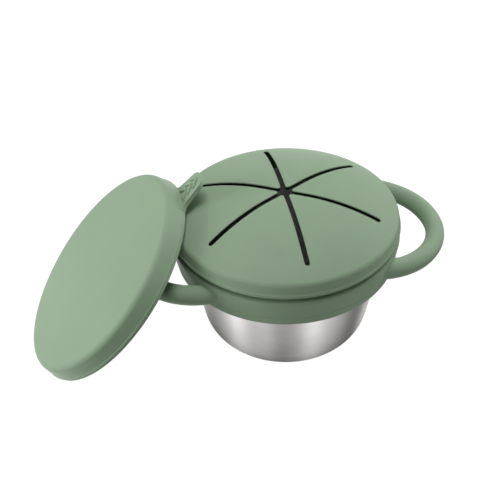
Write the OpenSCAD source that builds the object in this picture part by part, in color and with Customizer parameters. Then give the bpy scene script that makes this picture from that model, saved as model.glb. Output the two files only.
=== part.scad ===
// Snack bowl for a toddler: a pressed steel bowl in a soft sleeve with two loop
// handles, a soft lid with six flaps that a hand pushes through, and a closed
// storage lid that leans on the set. Sizes are in millimetres and +Z is up. The
// origin is the centre of the bowl's base, and the handles lie along X.

/* [Bowl] */
// Outside diameter of the rolled rim
rim_d = 109.6; // [90:0.2:132]
// Height of the rim above the table
bowl_h = 70.8; // [58:0.2:86]
// Lean of the wall from upright
wall_draft = 9.8; // [6:0.2:12]
// Outside radius between the wall and the base
corner_r = 17; // [12:0.5:22]
// Thickness of the sheet
steel_t = 0.8; // [0.6:0.1:1.2]
// Diameter of the rolled rim
bead_d = 2.2; // [1.8:0.1:2.8]

/* [Sleeve] */
// Height of the band, without its collar
band_h = 16.2; // [13:0.1:20]
// How far the band's shoulder stands out past the lid
band_proud = 0.3; // [0:0.1:1.5]
// How much the band's radius draws in towards its lower edge
band_taper = 2.3; // [0.5:0.1:3.5]
// Rounding of the band's shoulder
shoulder_r = 2.4; // [1:0.1:3]
// Rounding of the band's lower edge
hem_r = 1.2; // [0.4:0.1:2]

/* [Handles] */
// Thickness of a loop
grip_d = 9.4; // [7:0.1:12]
// Radius of a loop along its middle
loop_r = 35; // [28:0.5:42]
// Height of the loops' roots above the band's lower edge
loop_rise = 8.6; // [7:0.1:9.4]
// Droop of the loops towards their tips, in degrees
loop_droop = 3; // [0:0.5:6]
// How deep the middle of a root lies in the band
loop_embed = 1.5; // [0.5:0.1:2.5]
// Straight length of a root before the loop bends
root_l = 5; // [4:0.5:7]

/* [Lids] */
// Thickness of a lid's skirt at its widest line
skirt_t = 2.3; // [1.9:0.1:3]
// Lean of a lid's skirt from upright
skirt_draft = 12; // [4:0.5:14]
// How far a skirt reaches down past the top of the bowl's rim
skirt_drop = 5.2; // [4.4:0.1:6.2]
// Height of the widest line above a skirt's lower edge
parting_z = 1.8; // [1:0.1:2.4]
// How much a skirt draws in below its widest line
parting_in = 0.3; // [0:0.1:0.8]
// Rounding between a skirt and the top of a lid
edge_r = 3; // [2.2:0.1:3.6]
// Thickness of a lid's top
skin_t = 2; // [1.6:0.1:2.4]
// Thickness of the plug ring inside the bowl's mouth
plug_t = 2.2; // [1.6:0.1:3]
// How far the plug ring reaches below the skirt
plug_drop = 0.85; // [0:0.05:2]

/* [Snack lid] */
// Whole height from the skirt's lower edge to the crown
snack_h = 19.4; // [16:0.1:23.4]
// Rise of the crown from the lid's radius to its flat middle
snack_rise = 12.5; // [10:0.1:15]
// Radius of the flat middle of the crown
snack_flat = 11; // [0:0.5:14]
// Distance from the centre to a slit's outer end
slit_end = 48; // [44:0.2:48]
// Width of a slit
slit_w = 2.1; // [1.6:0.1:2.6]
// Diameter of the opening where the slits meet
eye_d = 6.4; // [5:0.1:8]
// Distance from the centre to the line on which a flap bends
flex_x = 38; // [35:0.2:38]
// Half the thickness of the bend
flex_r = 2.5; // [2.5:0.1:2.8]
// Turn of the lid on the bowl, in degrees
lid_turn = 0.7; // [-30:0.1:30]

/* [Storage lid] */
// Whole height from the skirt's lower edge to the crown
cover_h = 11.4; // [9.4:0.1:13.8]
// Rise of the crown over the lid's radius
cover_rise = 1.2; // [0.6:0.1:2]
// Radius of the flat middle of the crown
cover_flat = 0; // [0:0.5:14]
// Length of the pull tab
tab_l = 15; // [12:0.5:18]
// Width of the pull tab where it leaves the skirt
tab_root_w = 17; // [14:0.5:20]
// Width of the pull tab at its end
tab_end_w = 13; // [11:0.5:16]
// Thickness of the pull tab
tab_t = 2.2; // [1.6:0.1:3]
// Turn of the pull tab from the top of the leaning lid, in degrees
tab_turn = 5.7; // [-12:0.1:12]
// Side of the set on which the lid leans, in degrees from +X
lean_side = 176.8; // [170:0.1:190]
// Turn of the leaning lid about the upright through its centre, in degrees
lean_twist = 1.5; // [-3:0.1:3]

/* [Fits] */
// Gap between the bowl's wall and the sleeve
sleeve_gap = 0.3; // [0.2:0.05:0.4]
// Gap between a skirt and what it closes round
skirt_gap = 0.4; // [0.3:0.05:0.6]
// Gap between the plug ring and the bowl's wall
plug_gap = 0.5; // [0.3:0.05:0.8]
// Gap above the rim and round the bend of a flap
seat_gap = 0.3; // [0.2:0.05:0.4]
// Height of the shadow gap between a skirt and the band
shadow_gap = 1.8; // [1:0.1:2.4]
// Gap between the leaning lid and what it leans on
lean_gap = 0.3; // [0.2:0.05:0.6]

/* [Hidden] */
$fn = 96;
sage = [0.55, 0.65, 0.52];
steel = [0.75, 0.74, 0.73];
petals = 6;
sector = 360 / petals;
over = 1;

// Bowl
bead_r = bead_d / 2;
bead_z = bowl_h - bead_r;
rim_r = rim_d / 2;
mouth_r = rim_r + steel_t - bead_d;
function wall_r(z) = mouth_r - (bead_z - z) * tan(wall_draft);
function bore_r(z) = wall_r(z) - steel_t / cos(wall_draft);

// Lids
skirt_in = rim_r + skirt_gap;
lid_r = skirt_in + skirt_t;
lid_z = bowl_h - skirt_drop;
shelf_z = skirt_drop + seat_gap;
function plug_out(z) = bore_r(lid_z + z) - plug_gap;
plug_in = plug_out(-plug_drop) - plug_t;

// Radius of the arc that rises so much from the lid's radius to the flat middle
function crown_r(rise, flat) = (pow(lid_r - flat, 2) + rise * rise) / (2 * rise);
// Centre of the rounding that touches the skirt and the crown of a lid
function edge_reach(h, rise, flat) = lid_r * cos(skirt_draft) - edge_r - flat * cos(skirt_draft)
    + (parting_z - h + crown_r(rise, flat)) * sin(skirt_draft);
function edge_span(h, rise, flat) =
    sqrt(pow(crown_r(rise, flat) - edge_r, 2) - pow(edge_reach(h, rise, flat), 2));
function edge_centre(h, rise, flat) = [
    flat + edge_reach(h, rise, flat) * cos(skirt_draft) - edge_span(h, rise, flat) * sin(skirt_draft),
    h - crown_r(rise, flat) + edge_reach(h, rise, flat) * sin(skirt_draft)
        + edge_span(h, rise, flat) * cos(skirt_draft)];

// Sleeve
band_z1 = lid_z - shadow_gap;
band_z0 = band_z1 - band_h;
band_r1 = lid_r + band_proud;
band_r0 = band_r1 - band_taper;
collar_z = bead_z - bead_r - seat_gap;
grip_r = grip_d / 2;
loop_z = band_z0 + loop_rise;
loop_x = sqrt(pow(band_r0 + (band_r1 - band_r0) * loop_rise / band_h - loop_embed, 2)
    - loop_r * loop_r);
tip_x = loop_x + loop_r * cos(loop_droop);
tip_z = loop_z - loop_r * sin(loop_droop);

// Flaps of the snack lid
snack_arc = crown_r(snack_rise, snack_flat);
function snack_skin(r) = lid_z + snack_h - snack_arc
    + sqrt(pow(snack_arc - skin_t / 2, 2) - pow(r - snack_flat, 2));
flap_half = flex_x * tan(sector / 2) - slit_w / 2 / cos(sector / 2);
flex_z = (snack_skin(flex_x) + snack_skin(norm([flex_x, flap_half]))) / 2;
pocket_r = flex_r + seat_gap;
pocket_half = (flex_x + pocket_r) * tan(sector / 2) - slit_w / 2 / cos(sector / 2) + seat_gap;

// Storage lid: its edge stands on the table, and it leans on the snack lid's
// shoulder or on the tip of the loop, whichever it meets first
foot_r = lid_r - parting_in;
snack_edge = edge_centre(snack_h, snack_rise, snack_flat) + [0, lid_z];
touch_angle = 76;
touch = snack_edge + (edge_r + lean_gap) * [cos(touch_angle), sin(touch_angle)];
lean_arm = foot_r + plug_in;
lean = asin(touch[1] / norm([lean_arm, plug_drop])) + atan(plug_drop / lean_arm);
cover_z = foot_r * sin(lean);
lean_on_lid = touch[0] + plug_in * cos(lean) + plug_drop * sin(lean);
cover_deep = cover_h - skin_t - cover_rise;
lean_on_loop = (tip_x * sin(lean) + tip_z * cos(lean) + grip_r + lean_gap
    - cover_deep - cover_z * cos(lean)) / sin(lean);
cover_x = max(lean_on_lid, lean_on_loop);

// Pull tab
tab_round = 4;
ribs = 3;
rib_pitch = 3.9;
rib_w = 1.1;
rib_h = 0.6;
rib_bow_r = 7.5;
rib_margin = 2;

// Outline with rounded outer corners. A radius of 0 leaves a corner sharp.
function unit(v) = v / norm(v);
function half_angle(a, p, b) = acos(unit(a - p) * unit(b - p)) / 2;
function corner(a, p, b, r) = r == 0 ? [p]
    : [p + unit(a - p) * r / tan(half_angle(a, p, b)), p + unit(b - p) * r / tan(half_angle(a, p, b))];
function round_centre(a, p, b, r) = p + unit(unit(a - p) + unit(b - p)) * r / sin(half_angle(a, p, b));

module rounded(points, radii) {
    n = len(points);
    polygon([for (i = [0:n - 1])
        each corner(points[(i + n - 1) % n], points[i], points[(i + 1) % n], radii[i])]);
    for (i = [0:n - 1])
        if (radii[i] > 0)
            translate(round_centre(points[(i + n - 1) % n], points[i], points[(i + 1) % n], radii[i]))
                circle(r = radii[i]);
}

module steel_bowl() {
    color(steel)
        rotate_extrude()
            difference() {
                union() {
                    rounded([[0, 0], [wall_r(0), 0], [mouth_r, bead_z], [0, bead_z]], [0, corner_r, 0, 0]);
                    translate([mouth_r - steel_t + bead_r, bead_z])
                        circle(r = bead_r);
                }
                rounded([[0, steel_t], [bore_r(steel_t), steel_t], [bore_r(bead_z), bead_z],
                    [bore_r(bead_z), bowl_h + over], [0, bowl_h + over]], [0, corner_r - steel_t, 0, 0, 0]);
            }
}

// Half ring with straight roots, for the loop on the +X side
module loop_handle() {
    translate([loop_x, 0, loop_z])
        rotate([0, loop_droop, 0]) {
            rotate([0, 0, -90])
                rotate_extrude(angle = 180)
                    translate([loop_r, 0])
                        circle(r = grip_r);
            for (side = [-1, 1])
                translate([0, side * loop_r, 0])
                    rotate([0, -90, 0])
                        cylinder(h = root_l, r = grip_r);
        }
}

module handle_sleeve() {
    color(sage)
        difference() {
            union() {
                rotate_extrude()
                    rounded([[0, band_z0], [band_r0, band_z0], [band_r1, band_z1], [rim_r, band_z1],
                        [rim_r, collar_z], [0, collar_z]], [0, hem_r, shoulder_r, 0, 0, 0]);
                for (turn = [0, 180])
                    rotate([0, 0, turn])
                        loop_handle();
            }
            rotate_extrude()
                polygon([[0, band_z0 - over], [wall_r(band_z0 - over) + sleeve_gap, band_z0 - over],
                    [wall_r(collar_z + over) + sleeve_gap, collar_z + over], [0, collar_z + over]]);
        }
}

// Section through a lid, from its skirt's lower edge at height 0
module lid_section(h, rise, flat) {
    arc = crown_r(rise, flat);
    arc_centre = [flat, h - arc];
    centre = edge_centre(h, rise, flat);
    top = arc_centre + unit(centre - arc_centre) * arc;
    side = centre + edge_r * [cos(skirt_draft), sin(skirt_draft)];
    difference() {
        union() {
            polygon([[0, -plug_drop], [plug_out(-plug_drop), -plug_drop], [plug_out(-plug_drop), 0],
                [foot_r, 0], [lid_r, parting_z], side, centre, top, [0, top[1]]]);
            translate(centre)
                circle(r = edge_r);
            crown(arc_centre, arc, h, 0, top[0]);
        }
        polygon([[plug_out(-plug_drop - over), -plug_drop - over], [skirt_in, -plug_drop - over],
            [skirt_in, shelf_z], [plug_out(shelf_z), shelf_z]]);
        crown(arc_centre, arc - skin_t, h - skin_t, -plug_drop - over, plug_in);
    }
}

// Section under an arc of radius r, flat inside the arc's centre
module crown(arc_centre, r, top_z, low_z, reach) {
    if (arc_centre[0] > 0)
        translate([0, low_z])
            square([arc_centre[0], top_z - low_z]);
    intersection() {
        translate(arc_centre)
            circle(r = r, $fn = 720);
        translate([arc_centre[0], low_z])
            square([reach - arc_centre[0], top_z - low_z + over]);
    }
}

module slit() {
    translate([0, -slit_w / 2, 0])
        cube([slit_end - slit_w / 2, slit_w, lid_z + snack_h + over]);
    translate([slit_end - slit_w / 2, 0, 0])
        cylinder(h = lid_z + snack_h + over, d = slit_w);
}

// Round bar along the line on which a flap bends
module bend_bar(r, half) {
    translate([flex_x, half, flex_z])
        rotate([90, 0, 0])
            cylinder(h = 2 * half, r = r);
}

module snack_lid() {
    color(sage)
        rotate([0, 0, lid_turn])
            difference() {
                translate([0, 0, lid_z])
                    rotate_extrude()
                        lid_section(snack_h, snack_rise, snack_flat);
                rotate([0, 0, sector / 2])
                    cylinder(h = lid_z + snack_h + over, r = flex_x / cos(sector / 2), $fn = petals);
                for (i = [0:petals - 1])
                    rotate([0, 0, sector * i])
                        bend_bar(pocket_r, pocket_half);
                for (i = [0:petals - 1])
                    rotate([0, 0, sector * (i + 0.5)])
                        slit();
            }
}

// One flap, centred on the +X side before it is turned to its place
module petal(i) {
    tip_x = slit_w / 2 / sin(sector / 2);
    reach = flex_x + flex_r + over;
    color(sage)
        rotate([0, 0, lid_turn + sector * (i - 1)])
            intersection() {
                translate([0, 0, lid_z])
                    rotate_extrude()
                        lid_section(snack_h, snack_rise, snack_flat);
                linear_extrude(height = lid_z + snack_h + over)
                    difference() {
                        polygon([[tip_x, 0], [reach, (reach - tip_x) * tan(sector / 2)],
                            [reach, -(reach - tip_x) * tan(sector / 2)]]);
                        circle(d = eye_d);
                    }
                union() {
                    translate([0, -lid_r, flex_z - 2 * skin_t])
                        cube([flex_x, 2 * lid_r, lid_z + snack_h]);
                    bend_bar(flex_r, lid_r);
                }
            }
}

module petal_1() { petal(1); }
module petal_2() { petal(2); }
module petal_3() { petal(3); }
module petal_4() { petal(4); }
module petal_5() { petal(5); }
module petal_6() { petal(6); }

// Tab that leaves the skirt along +X, with curved grip ribs on its outer side
module pull_tab() {
    end_x = foot_r + tab_l;
    bend_x = end_x - tab_round;
    half = tab_end_w / 2;
    linear_extrude(height = tab_t) {
        polygon([[skirt_in + over / 2, tab_root_w / 2], [bend_x, half], [bend_x, -half],
            [skirt_in + over / 2, -tab_root_w / 2]]);
        translate([bend_x, tab_round - half])
            square([tab_round, tab_end_w - 2 * tab_round]);
        for (side = [-1, 1])
            translate([bend_x, side * (half - tab_round)])
                circle(r = tab_round);
    }
    for (i = [1:ribs])
        translate([foot_r + i * rib_pitch - rib_bow_r, 0, tab_t - over / 10])
            linear_extrude(height = rib_h + over / 10)
                intersection() {
                    difference() {
                        circle(r = rib_bow_r + rib_w / 2);
                        circle(r = rib_bow_r - rib_w / 2);
                    }
                    translate([0, rib_margin - half])
                        square([2 * rib_bow_r, tab_end_w - 2 * rib_margin]);
                }
}

module storage_lid() {
    color(sage)
        rotate([0, 0, lean_side])
            translate([cover_x, 0, cover_z])
                rotate([0, lean, lean_twist]) {
                    rotate_extrude()
                        lid_section(cover_h, cover_rise, cover_flat);
                    rotate([0, 0, 180 + tab_turn])
                        pull_tab();
                }
}

steel_bowl();
handle_sleeve();
snack_lid();
petal_1();
petal_2();
petal_3();
petal_4();
petal_5();
petal_6();
storage_lid();
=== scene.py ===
"""Looks of a toddler's snack set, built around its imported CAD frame.

A brushed steel bowl stands in a soft sleeve with two loop handles. A snack lid with
six flaps closes it, and a storage lid with a pull tab leans on the set. Sizes in the
classes are millimetres, as in the part's source, and meshes are written in metres.
"""

import logging
import math
from dataclasses import dataclass, field
from enum import Enum
from typing import Sequence

import bmesh
import bpy
import numpy as np
from bpy.types import Material, Mesh, Node, NodeSocket, NodeTree, Object
from mathutils import Matrix, Vector


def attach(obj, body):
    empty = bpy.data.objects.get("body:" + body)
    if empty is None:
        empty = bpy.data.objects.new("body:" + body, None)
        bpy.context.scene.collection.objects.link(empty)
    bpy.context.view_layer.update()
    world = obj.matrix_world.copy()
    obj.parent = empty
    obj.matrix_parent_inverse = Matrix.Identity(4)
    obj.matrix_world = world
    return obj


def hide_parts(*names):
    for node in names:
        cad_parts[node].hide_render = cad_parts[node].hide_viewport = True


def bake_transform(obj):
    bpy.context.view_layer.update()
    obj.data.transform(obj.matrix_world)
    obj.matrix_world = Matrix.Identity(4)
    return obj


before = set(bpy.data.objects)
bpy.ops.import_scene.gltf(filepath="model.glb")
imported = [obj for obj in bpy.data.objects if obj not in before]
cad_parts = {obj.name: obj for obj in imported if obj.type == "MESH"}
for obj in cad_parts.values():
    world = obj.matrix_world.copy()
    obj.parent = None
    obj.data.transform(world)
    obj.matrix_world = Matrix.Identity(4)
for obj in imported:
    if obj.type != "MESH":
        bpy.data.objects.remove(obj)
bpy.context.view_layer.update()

LOG = logging.getLogger("snack_set")
MM = 0.001
Array = np.ndarray


class Body(Enum):
    """Names of the CAD bodies that pieces ride on."""

    BOWL = "root"
    SLEEVE = "handle_sleeve"
    SNACK_LID = "snack_lid"
    STORAGE_LID = "storage_lid"


class Slot(Enum):
    """Names of the record's material slots."""

    STEEL = "steel"
    SILICONE = "silicone"


# Curves and sections.


def arc(centre: Sequence[float], radius: float, start: float, end: float, steps: int) -> Array:
    """Points along a circular arc.

    Args:
        centre: Centre of the circle.
        radius: Radius of the circle.
        start: First angle in degrees, from the first axis.
        end: Last angle in degrees.
        steps: Number of chords.

    Returns:
        An array of steps + 1 points.
    """
    angles = np.radians(np.linspace(start, end, steps + 1))
    return np.stack([centre[0] + radius * np.cos(angles), centre[1] + radius * np.sin(angles)], 1)


def rounded_path(
    points: Sequence[Sequence[float]], radii: Sequence[float], steps: int = 5
) -> Array:
    """Open path whose inner corners are rounded.

    Args:
        points: Corners in order.
        radii: Radius at each corner; the ends are kept as they are.
        steps: Chords for each rounded corner.

    Returns:
        The points of the path.
    """
    corners = [np.array(p, float) for p in points]
    path: list[Array] = [corners[0][None]]
    for before, here, after, radius in zip(corners, corners[1:], corners[2:], radii[1:-1]):
        if radius <= 0:
            path.append(here[None])
            continue
        one = (before - here) / np.linalg.norm(before - here)
        two = (after - here) / np.linalg.norm(after - here)
        half = math.acos(float(np.clip(one @ two, -1, 1))) / 2
        middle = here + (one + two) / np.linalg.norm(one + two) * radius / math.sin(half)
        first = here + one * radius / math.tan(half) - middle
        last = here + two * radius / math.tan(half) - middle
        turn = math.atan2(first[0] * last[1] - first[1] * last[0], float(first @ last))
        angles = np.linspace(0, turn, steps + 1)
        cos, sin = np.cos(angles)[:, None], np.sin(angles)[:, None]
        path.append(middle + cos * first + sin * np.array([-first[1], first[0]]))
    path.append(corners[-1][None])
    return np.concatenate(path)


def edge_drop(distance: Array, radius: float) -> Array:
    """How far a rounded edge lies below its face, by the distance from the edge."""
    inside = np.clip(radius - distance, 0, radius)
    return radius - np.sqrt(np.maximum(radius * radius - inside * inside, 0))


def cos_sin(degrees: float) -> tuple[float, float]:
    """Cosine and sine of an angle in degrees."""
    return math.cos(math.radians(degrees)), math.sin(math.radians(degrees))


# Meshes.


def link(item: Object) -> Object:
    """Links an object to the scene and gives it back."""
    bpy.context.scene.collection.objects.link(item)
    return item


def make_object(
    name: str,
    verts: Array,
    faces: Sequence[Sequence[int]],
    sharp: float = 40,
    shade: Array | None = None,
) -> Object:
    """Makes a smooth-shaded mesh object from millimetres.

    Args:
        name: Name of the object.
        verts: Points in millimetres, in the row frame.
        faces: Corner indices of each face.
        sharp: Edges that turn by more than this many degrees stay sharp.
        shade: Painted shade at each point, by how deep in a slit it lies, from 0 to 1.

    Returns:
        The new object, linked to the scene.
    """
    mesh = bpy.data.meshes.new(name)
    mesh.from_pydata((np.asarray(verts) * MM).tolist(), [], [list(map(int, f)) for f in faces])
    # The shade attribute drives the silicone's painted shade inside the slits.
    if shade is not None:
        attribute = mesh.attributes.new("shade", "FLOAT", "POINT")
        attribute.data.foreach_set("value", shade.astype(np.float32))
    return finish_mesh(name, mesh, sharp)


def finish_mesh(name: str, mesh: Mesh, sharp: float = 40) -> Object:
    """Welds a mesh, turns its faces outwards and links an object with it.

    Args:
        name: Name of the object.
        mesh: Mesh in metres.
        sharp: Edges that turn by more than this many degrees stay sharp.

    Returns:
        The new object, linked to the scene.
    """
    work = bmesh.new()
    work.from_mesh(mesh)
    bmesh.ops.remove_doubles(work, verts=work.verts, dist=2e-7)
    bmesh.ops.dissolve_degenerate(work, edges=work.edges, dist=1e-8)
    loose = [v for v in work.verts if not v.link_faces]
    bmesh.ops.delete(work, geom=loose, context="VERTS")
    bmesh.ops.recalc_face_normals(work, faces=work.faces)
    if work.calc_volume(signed=True) < 0:
        bmesh.ops.reverse_faces(work, faces=work.faces)
    open_edges = sum(1 for e in work.edges if len(e.link_faces) != 2)
    work.to_mesh(mesh)
    work.free()
    mesh.name = name
    mesh.shade_smooth()
    mesh.set_sharp_from_angle(angle=math.radians(sharp))
    piece = link(bpy.data.objects.new(name, mesh))
    LOG.info("%s: %d faces, %d open edges", name, len(mesh.polygons), open_edges)
    return piece


def strip_faces(rows: Sequence[Array]) -> list[tuple[int, ...]]:
    """Quads between rows of vertex indices.

    Args:
        rows: Rows of equal length.

    Returns:
        The quads.
    """
    return [
        (int(a[i]), int(a[i + 1]), int(b[i + 1]), int(b[i]))
        for a, b in zip(rows, rows[1:])
        for i in range(len(a) - 1)
    ]


def turned(section: Array, segments: int, name: str, sharp: float = 40) -> Object:
    """Turns a closed section about the Z axis with a Geometry Nodes tree.

    Args:
        section: Points as (radius, height) in millimetres. A ring's last point is its first.
        segments: Number of steps round the axis.
        name: Name of the object.
        sharp: Edges that turn by more than this many degrees stay sharp.

    Returns:
        The new object as a plain mesh.
    """
    mesh = bpy.data.meshes.new(name + "_section")
    points = np.stack([section[:, 0], np.zeros(len(section)), section[:, 1]], 1) * MM
    mesh.from_pydata(points.tolist(), [], [])
    shell = grow(mesh, turning_tree(), {"Segments": segments})
    return finish_mesh(name, shell, sharp)


# Node trees.


class Nodes:
    """Short hand for adding and joining the nodes of a tree."""

    def __init__(self, tree: NodeTree) -> None:
        """Starts on a tree."""
        self.tree = tree

    def feed(self, node: Node, inputs: dict) -> Node:
        """Gives a node its inputs.

        Args:
            node: The node.
            inputs: Values or sockets, by name or index of the input.

        Returns:
            The same node.
        """
        for key, value in inputs.items():
            if isinstance(value, NodeSocket):
                self.tree.links.new(value, node.inputs[key])
            else:
                node.inputs[key].default_value = value
        return node

    def add(self, kind: str, inputs: dict | None = None, **settings: object) -> Node:
        """Adds a node.

        Args:
            kind: Type of the node.
            inputs: Values or sockets, by name or index of the input.
            **settings: Properties of the node.

        Returns:
            The node.
        """
        node = self.tree.nodes.new(kind)
        for key, value in settings.items():
            setattr(node, key, value)
        return self.feed(node, inputs or {})

    def out(self, kind: str, inputs: dict | None = None, **settings: object) -> NodeSocket:
        """Adds a node and gives its first output."""
        return self.add(kind, inputs, **settings).outputs[0]

    def maths(self, operation: str, *values: object) -> NodeSocket:
        """Adds a Math node and gives its output."""
        return self.out("ShaderNodeMath", dict(enumerate(values)), operation=operation)

    def spread(self, value: NodeSocket, low: float, high: float) -> NodeSocket:
        """Maps 0 to 1 onto low to high."""
        return self.out("ShaderNodeMapRange", {0: value, 3: low, 4: high})


def new_tree(name: str, numbers: dict[str, tuple[str, float]]) -> tuple[Nodes, Node]:
    """Starts a Geometry Nodes tree with a geometry input and named numbers.

    Args:
        name: Name of the tree.
        numbers: Socket kind and default by input name.

    Returns:
        The node helper and the Group Input node.
    """
    tree = bpy.data.node_groups.new(name, "GeometryNodeTree")
    tree.interface.new_socket("Geometry", in_out="INPUT", socket_type="NodeSocketGeometry")
    for label, (kind, default) in numbers.items():
        socket = tree.interface.new_socket(label, in_out="INPUT", socket_type=kind)
        socket.default_value = default
    tree.interface.new_socket("Material", in_out="INPUT", socket_type="NodeSocketMaterial")
    tree.interface.new_socket("Geometry", in_out="OUTPUT", socket_type="NodeSocketGeometry")
    nodes = Nodes(tree)
    return nodes, nodes.add("NodeGroupInput")


def end_tree(nodes: Nodes, start: Node, made: NodeSocket) -> NodeTree:
    """Ends a tree in Realize Instances and Set Material."""
    real = nodes.out("GeometryNodeRealizeInstances", {"Geometry": made})
    painted = nodes.out(
        "GeometryNodeSetMaterial", {"Geometry": real, "Material": start.outputs["Material"]}
    )
    nodes.add("NodeGroupOutput", {"Geometry": painted})
    return nodes.tree


def grow(mesh: Mesh, tree: NodeTree, values: dict[str, object]) -> Mesh:
    """Runs a Geometry Nodes tree on a mesh and keeps the result as a plain mesh.

    Args:
        mesh: What the tree starts from.
        tree: The tree.
        values: Values of the tree's inputs, by name.

    Returns:
        The new mesh.
    """
    host = link(bpy.data.objects.new("growing", mesh))
    modifier = host.modifiers.new("grow", "NODES")
    modifier.node_group = tree
    for item in tree.interface.items_tree:
        if item.item_type == "SOCKET" and item.in_out == "INPUT" and item.name in values:
            modifier[item.identifier] = values[item.name]
    bpy.context.view_layer.update()
    graph = bpy.context.evaluated_depsgraph_get()
    made = bpy.data.meshes.new_from_object(host.evaluated_get(graph))
    host.modifiers.clear()
    bpy.data.objects.remove(host)
    return made


def turning_tree() -> NodeTree:
    """Tree that turns a row of points about Z: one row of the mesh for each point."""
    kept = bpy.data.node_groups.get("turned_section")
    if kept:
        return kept
    nodes, start = new_tree("turned_section", {"Segments": ("NodeSocketInt", 96)})
    section = start.outputs["Geometry"]
    size = nodes.add("GeometryNodeAttributeDomainSize", {"Geometry": section}, component="MESH")
    rows = size.outputs["Point Count"]
    round_count = nodes.maths("ADD", start.outputs["Segments"], 1.0)
    grid = nodes.add("GeometryNodeMeshGrid", {"Size X": 1.0, "Size Y": 1.0})
    nodes.tree.links.new(round_count, grid.inputs["Vertices X"])
    nodes.tree.links.new(rows, grid.inputs["Vertices Y"])
    place = nodes.add("ShaderNodeSeparateXYZ", {0: nodes.out("GeometryNodeInputPosition")})
    share = nodes.maths("ADD", place.outputs["Y"], 0.5)
    last = nodes.maths("SUBTRACT", rows, 1.0)
    row = nodes.maths("ROUND", nodes.maths("MULTIPLY", share, last))
    sample = nodes.add(
        "GeometryNodeSampleIndex",
        {"Geometry": section, "Value": nodes.out("GeometryNodeInputPosition"), "Index": row},
        data_type="FLOAT_VECTOR",
        domain="POINT",
    )
    point = nodes.add("ShaderNodeSeparateXYZ", {0: sample.outputs["Value"]})
    turn = nodes.maths("MULTIPLY", nodes.maths("ADD", place.outputs["X"], 0.5), math.tau)
    around = nodes.out(
        "ShaderNodeCombineXYZ",
        {
            "X": nodes.maths("MULTIPLY", point.outputs["X"], nodes.maths("COSINE", turn)),
            "Y": nodes.maths("MULTIPLY", point.outputs["X"], nodes.maths("SINE", turn)),
            "Z": point.outputs["Z"],
        },
    )
    placed = nodes.out(
        "GeometryNodeSetPosition", {"Geometry": grid.outputs["Mesh"], "Position": around}
    )
    return end_tree(nodes, start, placed)


# Finishes.


def new_material(name: str) -> tuple[Material, Nodes, Node]:
    """Starts a material.

    Args:
        name: Name of the material.

    Returns:
        The material, a helper for its nodes, and its shader.
    """
    made = bpy.data.materials.new(name)
    made.use_nodes = True
    return made, Nodes(made.node_tree), made.node_tree.nodes["Principled BSDF"]


@dataclass(frozen=True)
class Silicone:
    """Matt moulded silicone with a fine grain, faint clouds of colour, and painted shade inside
    the slits.
    """

    name: str = "sage_silicone"
    colour: tuple[float, float, float] = (0.262, 0.362, 0.247)
    cloud: float = 0.05
    cloud_scale: float = 45
    grain_scale: float = 2600
    grain_height: float = 0.000012
    grain_bump: float = 0.6
    roughness: tuple[float, float] = (0.50, 0.62)
    # Painted shade in the slits: the depth where it starts, the depth where it is full, and the
    # share of colour left there.
    painted_shade_start: float = 0.02
    painted_shade_full: float = 0.22
    painted_shade_level: float = 0.04
    ior: float = 1.41
    gloss: float = 0.16
    scatter: float = 0.06
    scatter_radius: tuple[float, float, float] = (0.8, 1.0, 0.7)
    scatter_scale: float = 0.0008

    def material(self) -> Material:
        """Builds the material.

        Returns:
            The material. Its colour is painted darker where the mesh's shade value grows: painted
            shade on the walls and undersides at the slits.
        """
        made, nodes, shader = new_material(self.name)
        place = nodes.add("ShaderNodeTexCoord").outputs["Object"]
        clouds = nodes.out(
            "ShaderNodeTexNoise",
            {"Vector": place, "Scale": self.cloud_scale, "Detail": 3.0, "Roughness": 0.6},
        )
        light, dark = (
            (*(c * (1 + sign * self.cloud) for c in self.colour), 1.0) for sign in (1, -1)
        )
        mix = nodes.add("ShaderNodeMix", {0: clouds, 6: dark, 7: light}, data_type="RGBA")
        grain = nodes.out(
            "ShaderNodeTexNoise", {"Vector": place, "Scale": self.grain_scale, "Detail": 2.0}
        )
        bump = nodes.out(
            "ShaderNodeBump",
            {"Strength": self.grain_bump, "Distance": self.grain_height, "Height": grain},
        )
        # Painted shade: the mesh's shade value darkens the colour inside the slits.
        painted_shade_depth = nodes.add("ShaderNodeAttribute", attribute_name="shade").outputs["Fac"]
        painted_shade_factor = nodes.out(
            "ShaderNodeMapRange",
            {0: painted_shade_depth, 1: self.painted_shade_start, 2: self.painted_shade_full, 3: 1.0, 4: self.painted_shade_level},
            interpolation_type="SMOOTHSTEP",
        )
        painted_shade_colour = nodes.out(
            "ShaderNodeVectorMath", {0: mix.outputs[2], 3: painted_shade_factor}, operation="SCALE"
        )
        nodes.feed(shader, {
            "Base Color": painted_shade_colour, "Roughness": nodes.spread(grain, *self.roughness), "Normal": bump,
            "IOR": self.ior, "Specular IOR Level": self.gloss,
            "Subsurface Weight": self.scatter, "Subsurface Radius": self.scatter_radius,
            "Subsurface Scale": self.scatter_scale,
        })
        return made


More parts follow.
